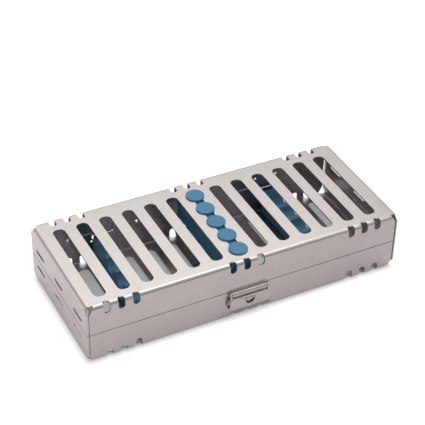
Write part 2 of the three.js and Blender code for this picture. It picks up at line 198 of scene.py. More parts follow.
def arc(centre, radius, first, last, steps):
    turns = [math.radians(first + (last - first) * i / steps) for i in range(steps + 1)]
    return [(centre[0] + radius * math.cos(t), centre[1] + radius * math.sin(t)) for t in turns]


def joined(name, pieces):
    work = bmesh.new()
    for piece in pieces:
        work.from_mesh(piece.data)
        bpy.data.objects.remove(piece)
    mesh = bpy.data.meshes.new(name)
    work.to_mesh(mesh)
    work.free()
    shadeByAngle(mesh)
    return plainObject(name, mesh)


# finishes

def newMaterial(name):
    material = bpy.data.materials.new(name)
    material.use_nodes = True
    material.node_tree.nodes.clear()
    return material, Graph(material.node_tree)


def surface(graph, values):
    shader = graph.add("ShaderNodeBsdfPrincipled", {}, values)
    graph.add("ShaderNodeOutputMaterial", {}, {"Surface": shader})


def sheetSteel():
    look = {
        "colour": (0.59, 0.551, 0.530, 1), "deepColour": (0.508, 0.474, 0.456, 1),
        "grain": 1500, "smear": 60, "blotch": 260, "shares": (0.35, 0.3, 0.35), "contrast": 1.9,
        "roughness": 0.29, "roughnessSpread": 0.08, "grainDepth": 0.000012,
        # the inside tint is painted shade, a cooler colour standing in for the case's shaded inside
        "insideShadeTint": (0.985, 0.965, 1.02, 1), "middle": (0, 0.00035, 0.018),
        "bendAxes": (0.088, 0.0355, 0.0152), "halfway": 0.0016, "fade": 0.0001,
    }
    material, g = newMaterial("satinSheet")
    where = g.add("ShaderNodeTexCoord", {}, {}, output=3)
    grain = g.add("ShaderNodeTexNoise", {}, {"Vector": where, "Scale": look["grain"], "Detail": 3.0,
                                              "Roughness": 0.6})
    smear = g.add("ShaderNodeTexNoise", {}, {"Vector": where, "Scale": look["smear"], "Detail": 2.0})
    blotch = g.add("ShaderNodeTexNoise", {}, {"Vector": where, "Scale": look["blotch"], "Detail": 3.0})
    mottle = grain * look["shares"][0] + smear * look["shares"][1] + blotch * look["shares"][2]
    shade = ((mottle - 0.5) * look["contrast"] + 0.5).clamped()
    colour = g.mixColours(shade, look["deepColour"], look["colour"])
    # painted shade tint: the sheet's inner side is nearer to the bends' axes than its middle is, and is given
    # a cooler colour that stands in for the tone of the case's shaded inside
    aside = g.add("ShaderNodeVectorMath", {"operation": "SUBTRACT"}, [where, look["middle"]])
    aside = g.add("ShaderNodeVectorMath", {"operation": "ABSOLUTE"}, [aside])
    past = g.add("ShaderNodeVectorMath", {"operation": "SUBTRACT"}, [aside, look["bendAxes"]])
    past = g.add("ShaderNodeVectorMath", {"operation": "MAXIMUM"}, [past, (0, 0, 0)])
    depth = g.add("ShaderNodeVectorMath", {"operation": "LENGTH"}, [past], output="Value")
    inside = ((look["halfway"] - depth) / look["fade"]).clamped()
    colour = g.mixColours(inside, colour, g.mixColours(1.0, colour, look["insideShadeTint"], "MULTIPLY"))
    spread = look["roughnessSpread"]
    rough = (grain - 0.5) * spread + (smear - 0.5) * spread + look["roughness"]
    pebble = g.add("ShaderNodeBump", {}, {"Height": grain, "Distance": look["grainDepth"], "Strength": 1.0})
    surface(g, {"Base Color": colour, "Metallic": 1.0, "Roughness": rough, "Normal": pebble})
    return material


def wireSteel():
    # the wire's colour is darker than the sheet: partly the wire's own tone, partly painted shade so the
    # latch pin's head, in the gap beside the latch plate, reads dark
    look = {"colour": (0.46, 0.44, 0.43, 1), "rings": 2500, "roughness": 0.27, "roughnessSpread": 0.1,
            "ringDepth": 0.000004}
    material, g = newMaterial("drawnWire")
    where = g.add("ShaderNodeTexCoord", {}, {}, output=3)
    rings = g.add("ShaderNodeTexNoise", {}, {"Vector": where, "Scale": look["rings"], "Detail": 2.0})
    bump = g.add("ShaderNodeBump", {}, {"Height": rings, "Distance": look["ringDepth"], "Strength": 1.0})
    surface(g, {"Base Color": look["colour"], "Metallic": 1.0,
                "Roughness": (rings - 0.5) * look["roughnessSpread"] + look["roughness"],
                "Normal": bump})
    return material


def blueSilicone(name, deep, pale):
    look = {"dust": 900, "cloud": 120, "dustShare": 0.6, "roughness": 0.6, "roughnessSpread": 0.15,
            "dustDepth": 0.00002}
    material, g = newMaterial(name)
    where = g.add("ShaderNodeTexCoord", {}, {}, output=3)
    dust = g.add("ShaderNodeTexNoise", {}, {"Vector": where, "Scale": look["dust"], "Detail": 4.0,
                                             "Roughness": 0.65})
    cloud = g.add("ShaderNodeTexNoise", {}, {"Vector": where, "Scale": look["cloud"], "Detail": 1.0})
    shade = (dust * look["dustShare"] + cloud * (1 - look["dustShare"])).clamped()
    colour = g.mixColours(shade, deep, pale)
    bump = g.add("ShaderNodeBump", {}, {"Height": dust, "Distance": look["dustDepth"], "Strength": 0.8})
    surface(g, {"Base Color": colour, "Roughness": (dust - 0.5) * look["roughnessSpread"] + look["roughness"],
                "Specular IOR Level": 0.35, "Normal": bump})
    return material


steelLook, wireLook = sheetSteel(), wireSteel()
siliconeShades = {  # one silicone in two copies: the bar's, where light falls, is painted darker than the rails', which stand in the case's shade; each copy holds a deep and a pale colour
    "barSiliconeDarkForLight": ((0.065, 0.215, 0.37, 1), (0.095, 0.275, 0.44, 1)),
    "railSiliconePaleForShade": ((0.100, 0.260, 0.415, 1), (0.140, 0.325, 0.490, 1)),
}
barLook, railLook = (blueSilicone(name, *shades) for name, shades in siliconeShades.items())
print("finishes made")


# punched sheets: a flat blank, perforated by Geometry Nodes, then folded

case = {
    "length": 180, "width": 75, "height": 17, "sheet": 0.8, "bend": 2, "bendSteps": 8,
    "slit": 0.6, "seam": 0.75, "corner": 0.3, "longCut": (3, 2), "endCut": 1.8,
    "cornerRounds": (0.2, 0.3, 0.5), "endSlotFromRim": 5, "combOnWall": 5.6,
    "parting": 18, "gap": 0.4, "backRim": 0.17, "shiftY": 0.35, "softEdge": 0.13,
}
punching = {
    "Slot Pitch": 13.0, "Slots Per Side": 6, "Slot Length": 58.4, "Slot Width": 6.75, "Slot Corner": 2.835,
    "Comb Group Spacing": 70.0, "Comb Pitch": 8.0, "Comb Width": 3.7,
    "End Slot Pitch": 25.5, "End Slot Length": 11.025, "End Slot Height": 1.8,
    "Hinge Spacing": 50.0, "Relief Step": 6.5, "Relief Radius": 0.7,
}
flatU, flatV = case["length"] / 2 - case["bend"], case["width"] / 2 - case["bend"]
bendArc = case["bend"] * math.pi / 2
foldU, foldV = flatU + bendArc, flatV + bendArc  # where the walls start in the flat blank
wallHeight = case["height"] - case["bend"]
rimU, rimV = foldU + wallHeight, foldV + wallHeight
wallInner = case["width"] / 2 - case["sheet"]
longReach = case["length"] / 2 - case["sheet"] - case["seam"]


def punchTree():
    tree = bpy.data.node_groups.new("punchedSheet", "GeometryNodeTree")
    tree.interface.new_socket("Geometry", in_out="INPUT", socket_type="NodeSocketGeometry")
    labels = {**punching, "Shift X": 0.0, "Shift Y": 0.0, "Front Comb Reach": 0.0, "Front Comb Place": 0.0,
              "Back Comb Reach": 0.0, "Back Comb Place": 0.0, "End Slot Place": 0.0, "Relief Place": 0.0,
              "Relief Count": 2}
    for label, value in labels.items():
        kind = "NodeSocketInt" if isinstance(value, int) else "NodeSocketFloat"
        tree.interface.new_socket(label, in_out="INPUT", socket_type=kind)
    tree.interface.new_socket("Material", in_out="INPUT", socket_type="NodeSocketMaterial")
    tree.interface.new_socket("Geometry", in_out="OUTPUT", socket_type="NodeSocketGeometry")
    g = Graph(tree)
    size = g.groupInputs()
    roundEnd = 0.495  # of a punch's width, just under a full half circle

    def vector(x, y):
        return g.add("ShaderNodeCombineXYZ", {}, [x, y, 0.0])

    def line(count, start, step):
        return g.add("GeometryNodeMeshLine", {"mode": "OFFSET"},
                     {"Count": count, "Start Location": start, "Offset": step})

    def punch(points, width, height, radius):
        outline = g.add("GeometryNodeCurvePrimitiveQuadrilateral", {}, {"Width": width, "Height": height})
        rounded = g.add("GeometryNodeFilletCurve", {"mode": "POLY"},
                        {"Curve": outline, "Radius": radius, "Count": 6, "Limit Radius": True})
        return g.add("GeometryNodeInstanceOnPoints", {}, {"Points": points, "Instance": rounded})

    perSide = size["Slots Per Side"]
    slotLine = line(perSide * 2 + 1, vector(size["Shift X"] - perSide * size["Slot Pitch"], size["Shift Y"]),
                    vector(size["Slot Pitch"], 0.0))
    index = g.add("GeometryNodeInputIndex")
    middle = g.add("FunctionNodeCompare", {"data_type": "INT", "operation": "EQUAL"}, {2: index, 3: perSide})
    slotPoints = g.add("GeometryNodeDeleteGeometry", {"domain": "POINT"},
                       {"Geometry": slotLine, "Selection": middle})
    punches = [punch(slotPoints, size["Slot Width"], size["Slot Length"], size["Slot Corner"])]

    groups = line(3, vector(size["Shift X"] - size["Comb Group Spacing"], 0.0),
                  vector(size["Comb Group Spacing"], 0.0))
    group = line(3, vector(0.0 - size["Comb Pitch"], 0.0), vector(size["Comb Pitch"], 0.0))
    spread = g.add("GeometryNodeInstanceOnPoints", {}, {"Points": groups, "Instance": group})
    combs = g.add("GeometryNodeRealizeInstances", {}, {"Geometry": spread})
    for side, name in ((-1.0, "Front Comb"), (1.0, "Back Comb")):
        place = vector(0.0, size[name + " Place"] * side)
        row = g.add("GeometryNodeTransform", {}, {"Geometry": combs, "Translation": place})
        punches.append(punch(row, size["Comb Width"], size[name + " Reach"], size["Comb Width"] * roundEnd))
        ends = line(3, vector(size["End Slot Place"] * side, 0.0 - size["End Slot Pitch"]),
                    vector(0.0, size["End Slot Pitch"]))
        punches.append(punch(ends, size["End Slot Height"], size["End Slot Length"],
                             size["End Slot Height"] * roundEnd))

    reliefHole = g.add("GeometryNodeCurvePrimitiveCircle", {},
                       {"Resolution": 20, "Radius": size["Relief Radius"]})
    for side in (-1.0, 1.0):
        outerEnd = vector((size["Hinge Spacing"] + size["Relief Step"]) * side, size["Relief Place"])
        pair = line(size["Relief Count"], outerEnd, vector(size["Relief Step"] * -2.0 * side, 0.0))
        punches.append(g.add("GeometryNodeInstanceOnPoints", {}, {"Points": pair, "Instance": reliefHole}))

    blank = g.add("GeometryNodeMeshToCurve", {}, {"Mesh": size["Geometry"]})
    everything = g.add("GeometryNodeJoinGeometry", {}, {"Geometry": [blank, *punches]})
    real = g.add("GeometryNodeRealizeInstances", {}, {"Geometry": everything})
    filled = g.add("GeometryNodeFillCurve", {}, {0: real})
    dressed = g.add("GeometryNodeSetMaterial", {}, {"Geometry": filled, "Material": size["Material"]})
    g.add("NodeGroupOutput", {}, {"Geometry": dressed})
    return tree


def modifierWith(piece, tree, values):
    modifier = piece.modifiers.new(tree.name, "NODES")
    modifier.node_group = tree
    for socket in tree.interface.items_tree:
        if socket.item_type == "SOCKET" and socket.in_out == "INPUT" and socket.name in values:
            modifier[socket.identifier] = values[socket.name]


def rimSteps(steps, side, rest=0):  # steps of (left, right, reach past the rim), from left to right
    points = [(-longReach, rest, case["corner"])]
    for left, right, reach in steps:
        for u, r in ((left, rest), (left, reach), (right, reach), (right, rest)):
            if points[-1][:2] == (u, r):
                points.pop()
            else:
                points.append((u, r, case["corner"]))
    points.append((longReach, rest, case["corner"]))
    return [(u, side * (rimV + reach), radius) for u, reach, radius in points]


def blankOutline(frontSteps, backSteps):
    slit, corner, cut, (across, down) = flatV - case["slit"], case["corner"], case["endCut"], case["longCut"]
    tight, usual, wide = case["cornerRounds"]
    quarter = [(longReach, foldV + down, corner), (longReach - across, flatV, tight), (flatU, flatV, tight),
               (flatU, slit, tight), (foldU, slit, tight), (foldU, case["width"] / 2 - cut, usual),
               (foldU + cut, case["width"] / 2, wide), (rimU, case["width"] / 2, corner)]
    right = [(u, -v, r) for u, v, r in quarter] + quarter[::-1]
    left = [(-u, -v, r) for u, v, r in right]
    back = rimSteps(backSteps, 1, case["backRim"])[::-1]
    return roundCorners(rimSteps(frontSteps, -1) + right + back + left, 3)


def foldedPoint(u, v, depth, rolls):
    bend, sheet = case["bend"], case["sheet"]
    side = 1 if v > 0 else -1
    alongEnd = abs(u) > (foldU + case["length"] / 2) / 2 or abs(v) < (flatV + flatV - case["slit"]) / 2
    start, half = (flatU, case["length"] / 2) if alongEnd else (flatV, case["width"] / 2)
    travel = abs(u if alongEnd else v) - start
    if travel <= 0:
        return u, v, case["height"] - depth
    if travel < bendArc:
        turn = travel / bend
        out, up = start + (bend - depth) * math.sin(turn), wallHeight + (bend - depth) * math.cos(turn)
    else:
        out, up = half - depth, wallHeight - (travel - bendArc)
        roll = None if alongEnd else rolls.get(side)
        if roll and up < -roll["straight"]:
            turn = (-roll["straight"] - up) / roll["radius"]
            centre = wallInner + roll["radius"] + sheet
            out = centre - (roll["radius"] + depth) * math.cos(turn)
            up = -roll["straight"] - (roll["radius"] + depth) * math.sin(turn)
    if alongEnd:
        return math.copysign(out, u), v, up
    return u, side * out, up


def cutAlong(work, axis, place):
    normal = Vector((1, 0, 0)) if axis == 0 else Vector((0, 1, 0))
    everything = list(work.verts) + list(work.edges) + list(work.faces)
    bmesh.ops.bisect_plane(work, geom=everything, dist=1e-7, plane_co=normal * place, plane_no=normal)


def foldedSheet(name, loops, values, rolls, settleFrame):
    points, edges = [], []
    for loop in loops:
        first = len(points)
        points += [(u * 1000, v * 1000, 0) for u, v in loop]  # the blank is laid out in plain millimetres
        edges += [(first + i, first + (i + 1) % len(loop)) for i in range(len(loop))]
    piece = plainObject(name, meshFrom(name, points, [], edges))
    modifierWith(piece, punchedSheet, values)
    settle(piece)
    work = bmesh.new()
    work.from_mesh(piece.data)
    bmesh.ops.remove_doubles(work, verts=work.verts, dist=1e-4)
    for side in (-1, 1):
        for step in range(case["bendSteps"] + 1):
            cutAlong(work, 0, side * (flatU + bendArc * step / case["bendSteps"]))
            cutAlong(work, 1, side * (flatV + bendArc * step / case["bendSteps"]))
        if side in rolls:
            roll = rolls[side]
            length = math.radians(roll["angle"]) * roll["radius"]
            for step in range(roll["steps"]):
                cutAlong(work, 1, side * (rimV + roll["straight"] + length * step / roll["steps"]))
    bmesh.ops.triangulate(work, faces=[f for f in work.faces if len(f.verts) > 4])
    flat = [vertex.co.copy() for vertex in work.verts]
    work.verts.index_update()
    faces = [[v.index for v in face.verts] for face in work.faces]
    borders = [(e.verts[0].index, e.verts[1].index) for e in work.edges if len(e.link_faces) == 1]
    work.free()
    count = len(flat)
    solid = [settleFrame(*foldedPoint(p.x, p.y, 0, rolls)) for p in flat]
    solid += [settleFrame(*foldedPoint(p.x, p.y, case["sheet"], rolls)) for p in flat]
    faces += [[i + count for i in face[::-1]] for face in faces]
    faces += [(a, b, b + count, a + count) for a, b in borders]
    bpy.data.objects.remove(piece)
    mesh = meshFrom(name, solid, faces)
    faceOutwards(mesh)
    mesh.materials.append(steelLook)
    return soften(plainObject(name, mesh), case["softEdge"])


def punchValues(shell, shiftX, shiftY):  # "combs" is their reach on the plate, from the front and the back
    outer = foldV + case["combOnWall"] - case["bend"]
    values = {**punching, "Shift X": shiftX, "Shift Y": shiftY, "Relief Count": shell["reliefCount"],
              "End Slot Place": foldU + wallHeight - case["endSlotFromRim"],
              "Relief Place": rimV - shell["reliefFromRim"], "Material": steelLook}
    for name, reach in zip(("Front Comb", "Back Comb"), shell["combs"]):
        inner = case["width"] / 2 - reach
        values.update({name + " Reach": outer - inner, name + " Place": (outer + inner) / 2})
    return values


punchedSheet = punchTree()
hinge = {"spacing": 50, "half": 20, "middle": 6, "clear": 0.3, "endClear": 0.8, "cut": -1.5,
         "notch": (1.1, -3.0)}
hingeRoll = {"straight": 0.2, "radius": 1.05, "angle": 325, "steps": 30}
latchRoll = {"straight": 1.9, "radius": 0.8, "angle": 325, "steps": 26}
instruments = {"count": 5, "pitch": 12.6, "shiftX": -0.8, "shiftY": -1.3}  # side by side in the case
firstStation = -(instruments["count"] - 1) / 2
stations = [(i + firstStation) * instruments["pitch"] + instruments["shiftY"]
            for i in range(instruments["count"])]


def hingeSteps(middleTab):
    tab = hingeRoll["straight"] + math.radians(hingeRoll["angle"]) * hingeRoll["radius"]
    steps = []
    for centre in (-hinge["spacing"], hinge["spacing"]):
        m, h, c, e = hinge["middle"], hinge["half"], hinge["clear"], hinge["endClear"]
        if middleTab:
            steps += [(centre - h - e, centre - m + c, hinge["cut"]), (centre - m + c, centre + m - c, tab),
                      (centre + m - c, centre + h + e, hinge["cut"])]
        else:
            left, right, (width, deep) = centre - m - c, centre + m + c, hinge["notch"]
            inner = left + width if centre < 0 else right - width
            reaches = (deep, hinge["cut"]) if centre < 0 else (hinge["cut"], deep)
            steps += [(centre - h + c, left, tab), (left, inner, reaches[0]), (inner, right, reaches[1]),
                      (right, centre + h - c, tab)]
    return steps


def stemChain():
    chain = {"x": instruments["shiftX"], "radius": 4.8, "neck": 2.55, "steps": 14}
    last = instruments["count"] - 1
    lean = math.degrees(math.asin(chain["neck"] / chain["radius"]))
    right, left = [], []
    for index, y in enumerate(stations):
        low, high = (-90 if index == 0 else lean - 90), (90 if index == last else 90 - lean)
        right += arc((chain["x"], y), chain["radius"], low, high, chain["steps"])
        left += arc((chain["x"], y), chain["radius"], 180 - low, 180 - high, chain["steps"])
    loop = right + left[::-1]
    return [p for i, p in enumerate(loop) if math.dist(p, loop[i - 1]) > 1e-4]


def lidSheet():
    lid = {"barrelHalf": 10.1, "combs": (3.0, 5.8), "reliefFromRim": 6.4, "reliefCount": 2}
    barrel = latchRoll["straight"] + math.radians(latchRoll["angle"]) * latchRoll["radius"]
    outline = blankOutline([(-lid["barrelHalf"], lid["barrelHalf"], barrel)], hingeSteps(True))
    values = punchValues(lid, instruments["shiftX"], instruments["shiftY"])
    z = case["parting"] + case["gap"] / 2
    return foldedSheet("lidSheet", [outline, stemChain()], values, {1: hingeRoll, -1: latchRoll},
                       lambda x, y, up: (x, y + case["shiftY"], up + z))


def baseSheet():
    base = {"windowHalf": 11.8, "windowDepth": 10.8, "combs": (3.0, 3.0), "reliefFromRim": 4.2,
            "reliefCount": 1, "shiftY": 1.5}
    window = (-base["windowHalf"], base["windowHalf"], -base["windowDepth"])
    outline = blankOutline([window], hingeSteps(False))
    values = punchValues(base, 0.0, base["shiftY"])
    z = case["parting"] - case["gap"] / 2
    return foldedSheet("baseSheet", [outline], values, {1: hingeRoll},
                       lambda x, y, up: (-x, y + case["shiftY"], z - up))


lidSteel = lidSheet()
print("lid sheet folded:", len(lidSteel.data.polygons), "faces")
baseSteel = baseSheet()
print("base sheet folded:", len(baseSteel.data.polygons), "faces")


# silicone: a bar with heads in the lid, and two rails with feet in the base

def repeatTree():
    tree = bpy.data.node_groups.new("rowOfParts", "GeometryNodeTree")
    tree.interface.new_socket("Geometry", in_out="INPUT", socket_type="NodeSocketGeometry")
    for label, kind in {"Part": "Object", "Count": "Int", "Pitch": "Float", "Material": "Material"}.items():
        tree.interface.new_socket(label, in_out="INPUT", socket_type="NodeSocket" + kind)
    tree.interface.new_socket("Geometry", in_out="OUTPUT", socket_type="NodeSocketGeometry")
    g = Graph(tree)
    size = g.groupInputs()
    part = g.add("GeometryNodeObjectInfo", {}, {"Object": size["Part"]}, output="Geometry")
    step = g.add("ShaderNodeCombineXYZ", {}, [0.0, size["Pitch"], 0.0])
    row = g.add("GeometryNodeMeshLine", {"mode": "OFFSET"}, {"Count": size["Count"], "Offset": step})
    parts = g.add("GeometryNodeInstanceOnPoints", {}, {"Points": row, "Instance": part})
    real = g.add("GeometryNodeRealizeInstances", {}, {"Geometry": parts})
    body = g.add("GeometryNodeMeshBoolean", {"operation": "UNION", "solver": "EXACT"},
                 {1: [size["Geometry"], real]})
    dressed = g.add("GeometryNodeSetMaterial", {}, {"Geometry": body, "Material": size["Material"]})
    g.add("NodeGroupOutput", {}, {"Geometry": dressed})
    return tree


rowOfParts = repeatTree()


def withRow(piece, part, count, pitch, finish):
    modifierWith(piece, rowOfParts, {"Part": part, "Count": count, "Pitch": pitch * mm, "Material": finish})
    settle(piece)
    bpy.data.objects.remove(part)
    shadeByAngle(piece.data, 40)
    return piece


def clampBar():
    bar = {"x": instruments["shiftX"], "width": 15.4, "low": 19.2, "high": 34.1, "margin": 6.3,
           "archWidth": 10.4, "archRise": 1.8, "softEdge": 0.5}
    head = {"stem": 4.5, "radius": 5.1, "under": 35.3, "top": 36, "rim": 0.3, "dish": 0.12, "flat": 1.5,
            "buried": 2, "fillet": 0.15, "chamfer": 0.1, "slope": 1.1, "sunk": 0.02}
    radius = (bar["archWidth"] ** 2 / 4 + bar["archRise"] ** 2) / (2 * bar["archRise"])
    lean = math.degrees(math.asin(bar["archWidth"] / 2 / radius))
    loop = [(stations[0] - bar["margin"], bar["high"]), (stations[0] - bar["margin"], bar["low"])]
    for y in stations:
        loop += arc((y, bar["low"] + bar["archRise"] - radius), radius, 90 + lean, 90 - lean, 12)
    loop += [(stations[-1] + bar["margin"], bar["low"]), (stations[-1] + bar["margin"], bar["high"])]
    piece = prism("clampBar", loop, bar["x"] - bar["width"] / 2, bar["x"] + bar["width"] / 2,
                  lambda y, z, x: (x, y + case["shiftY"], z))
    soften(piece, bar["softEdge"], 3, 30)
    rim = arc((head["radius"] - head["rim"], head["top"] - head["rim"]), head["rim"], 0, 90, 5)
    foot, dish = bar["high"] - head["buried"], head["top"] - head["dish"]
    profile = [(0, foot), (head["stem"], foot), (head["stem"], head["under"] - head["fillet"]),
               (head["stem"] + head["fillet"], head["under"]),
               (head["radius"] - head["chamfer"], head["under"]),
               (head["radius"], head["under"] + head["chamfer"]), *rim,
               (head["radius"] - head["slope"], head["top"] - head["sunk"]), (head["flat"], dish), (0, dish)]
    part = lathe("clampHead", profile, lambda x, y, z: (x + bar["x"], y + stations[0] + case["shiftY"], z))
    return withRow(piece, part, instruments["count"], instruments["pitch"], barLook)


def instrumentRail(name, x):
    rail = {"width": 10, "low": 1.9, "high": 16.8, "reach": 34.5, "cradle": 4.7, "depth": 5.6,
            "softEdge": 0.45}
    foot = {"count": 3, "pitch": 22, "y": 1.5, "stem": (6.15, 10), "flange": 0.95, "top": 0.65,
            "cornerShare": 0.42, "softEdge": 0.2, "buried": 1}
    loop = [(-rail["reach"], rail["low"]), (rail["reach"], rail["low"]), (rail["reach"], rail["high"])]
    for y in stations[::-1]:
        floor = rail["high"] - rail["depth"] + rail["cradle"]
        loop.append((y + rail["cradle"], rail["high"]))
        loop += arc((y, floor), rail["cradle"], 0, -180, 18)
        loop.append((y - rail["cradle"], rail["high"]))
    loop.append((-rail["reach"], rail["high"]))
    piece = prism(name, loop, x - rail["width"] / 2, x + rail["width"] / 2,
                  lambda y, z, across: (across, y + case["shiftY"], z))
    soften(piece, rail["softEdge"], 3, 30)

    def block(width, length, low, high):
        w, l, r = width / 2, length / 2, width * foot["cornerShare"]
        corners = roundCorners([(w, -l, r), (w, l, r), (-w, l, r), (-w, -l, r)], 6)
        start = foot["y"] - foot["pitch"] + case["shiftY"]
        return prism("foot", corners, low, high, lambda u, v, z: (u + x, v + start, z))

    width, length = foot["stem"]
    flange = block(width + 2 * foot["flange"], length + 2 * foot["flange"], 0, foot["top"])
    head = soften(flange, foot["softEdge"], 2, 60)
    stem = block(width, length, foot["top"] / 2, rail["low"] + foot["buried"])
    return withRow(piece, joined("feet", [head, stem]), foot["count"], foot["pitch"], railLook)


bar = clampBar()
railPlaces = {"leftRail": -52, "rightRail": 52}
rails = [instrumentRail(name, x) for name, x in railPlaces.items()]
print("silicone made:", len(bar.data.polygons), "and", len(rails[0].data.polygons), "faces")


# latch, keeper and pins

latch = {
    "axisY": -37.95, "axisZ": 16.3, "standoff": 1.2, "sheet": 0.8, "topDrop": 1.5, "shoulder": 3.7,
    "lip": 8.9, "bottom": 10, "topWidth": 20.6, "width": 23.3, "flare": 0.8, "flareFrom": 0.45,
    "flareCut": 0.15, "flareCuts": 7, "corners": (0.3, 0.6, 0.5), "catchDrop": 3.5, "catch": (5.1, 3.8),
    "earInner": 10.35, "earOverlap": 0.05, "roll": 1.6, "softEdge": 0.12,
}


def halfMoon(top, width, height, steps=14):
    radius = (width ** 2 / 4 + height ** 2) / (2 * height)
    low = top - height + radius
    lean = math.degrees(math.asin((top - low) / radius))
    return arc((0, low), radius, 180 - lean, 360 + lean, steps)


def latchPlate():
    outer, inner = latch["axisY"] - latch["standoff"] - latch["sheet"], latch["axisY"] - latch["standoff"]
    half, top = latch["width"] / 2, latch["topWidth"] / 2
    # the plate is a sheet in (x, drop); below the lip line it leans outwards
    rounds = [(top, -latch["topDrop"], latch["corners"][0]), (half, -latch["shoulder"], latch["corners"][1]),
              (half, -latch["bottom"], latch["corners"][2])]
    outline = roundCorners([(-u, v, r) for u, v, r in rounds] + rounds[::-1], 4)
    hole = halfMoon(-latch["catchDrop"], *latch["catch"])
    work = bmesh.new()
    for loop in (outline, hole):
        verts = [work.verts.new((u, v, 0)) for u, v in loop]
        for i, vert in enumerate(verts):
            work.edges.new((vert, verts[(i + 1) % len(verts)]))
    bmesh.ops.triangle_fill(work, use_beauty=True, use_dissolve=False, edges=work.edges[:])
    for step in range(latch["flareCuts"]):
        cutAlong(work, 1, -latch["lip"] + latch["flareFrom"] - latch["flareCut"] * step)
    work.verts.index_update()
    flat = [v.co.copy() for v in work.verts]
    faces = [[v.index for v in f.verts] for f in work.faces]
    borders = [(e.verts[0].index, e.verts[1].index) for e in work.edges if len(e.link_faces) == 1]
    work.free()

    def stand(p, depth):
        whole = latch["bottom"] - latch["lip"] + latch["flareFrom"]
        lean = max(0.0, min(1.0, (-latch["lip"] + latch["flareFrom"] - p.y) / whole))
        return (p.x, outer + depth - latch["flare"] * lean ** 1.3, latch["axisZ"] + p.y)

    count = len(flat)
    points = [stand(p, 0) for p in flat] + [stand(p, latch["sheet"]) for p in flat]
    faces += [[i + count for i in f[::-1]] for f in faces]
    faces += [(a, b, b + count, a + count) for a, b in borders]
    mesh = meshFrom("plate", points, faces)
    faceOutwards(mesh)
    plate = plainObject("plate", mesh)
    ears = []
    y, z, roll = latch["axisY"], latch["axisZ"], latch["roll"]
    overlap, shoulder = outer + latch["earOverlap"], z - latch["shoulder"]
    ear = arc((y, z), roll, 0, 180, 16) + [(overlap, shoulder), (overlap, shoulder - latch["sheet"]),
                                           (inner, shoulder - latch["sheet"])]
    for side in (-1, 1):
        reach = sorted((side * latch["earInner"], side * (latch["earInner"] + latch["sheet"])))
        ears.append(prism("ear", ear, *reach, lambda u, v, x: (x, u, v)))
    for piece in (plate, *ears):
        soften(piece, latch["softEdge"])
    whole = joined("latchPlate", [plate, *ears])
    whole.data.materials.append(steelLook)
    return whole


def latchKeeper():
    keeper = {"half": 14.5, "low": 3.8, "high": 13.6, "front": -36.05, "back": -35.25, "nibFace": -39.0,
              "nibTop": 12.1, "nib": (3.7, 2.4), "corner": 0.5, "nibEdge": 0.25, "sunk": 0.4}
    half, r = keeper["half"], keeper["corner"]
    strip = roundCorners([(-half, keeper["low"], r), (half, keeper["low"], r), (half, keeper["high"], r),
                          (-half, keeper["high"], r)], 4)
    plate = prism("keeperStrip", strip, keeper["front"], keeper["back"], lambda x, z, y: (x, y, z))
    nib = prism("nib", halfMoon(keeper["nibTop"], *keeper["nib"]), keeper["nibFace"],
                keeper["front"] + keeper["sunk"], lambda x, z, y: (x, y, z))
    soften(plate, latch["softEdge"])
    soften(nib, keeper["nibEdge"], 3)
    whole = joined("keeperStrip", [plate, nib])
    whole.data.materials.append(steelLook)
    return whole


def pin(name, radius, half, place, head=None):
    edges = {"end": 0.18, "face": 0.12, "under": 0.05, "steps": 40}
    end, face, under = edges["end"], edges["face"], edges["under"]
    if head:
        reach, thick = head
        side = [(radius, half), (reach - under, half), (reach, half + under), (reach, half + thick - face),
                (reach - face, half + thick), (0, half + thick)]
    else:
        side = [(radius, half - end), (radius - end, half), (0, half)]
    profile = [(r, -along) for r, along in side[::-1]] + side
    x0, y0, z0 = place
    piece = lathe(name, profile, lambda u, v, along: (x0 + along, y0 + u, z0 + v), edges["steps"])
    piece.data.materials.append(wireLook)
    return piece


latchSteel, keeperSteel = latchPlate(), latchKeeper()
hingeWire = {"radius": 0.8, "half": 19.7, "axisY": 38.9, "axisZ": 18}
latchWire = {"radius": 0.55, "half": 11.225, "head": (1, 0.35)}
hingePins = [pin(name, hingeWire["radius"], hingeWire["half"], (x, hingeWire["axisY"], hingeWire["axisZ"]))
             for name, x in (("leftHingePin", -hinge["spacing"]), ("rightHingePin", hinge["spacing"]))]
latchPin = pin("latchPin", latchWire["radius"], latchWire["half"], (0, latch["axisY"], latch["axisZ"]),
               latchWire["head"])
print("latch, keeper and pins made")


# bodies: each piece rides on its body, and the CAD node it replaces is hidden

for piece, body, node, slot in (
    (lidSteel, "lid", "lid_shell", "stainless_sheet"),
    (baseSteel, "base", "base_shell", "stainless_sheet"),
    (bar, "lid", "lid_clamp_bar", "blue_silicone"),
    (rails[0], "base", "left_instrument_rail", "blue_silicone"),
    (rails[1], "base", "right_instrument_rail", "blue_silicone"),
    (latchSteel, "latch", "latch_plate", "stainless_sheet"),
    (latchPin, "latch", "latch_pin", "pin_steel"),
    (keeperSteel, "base", "latch_keeper", "stainless_sheet"),
    (hingePins[0], "base", "left_hinge_pin", "pin_steel"),
    (hingePins[1], "base", "right_hinge_pin", "pin_steel"),
):
    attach(piece, body)
    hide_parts(node)
print("pieces ride on their bodies")


# studio

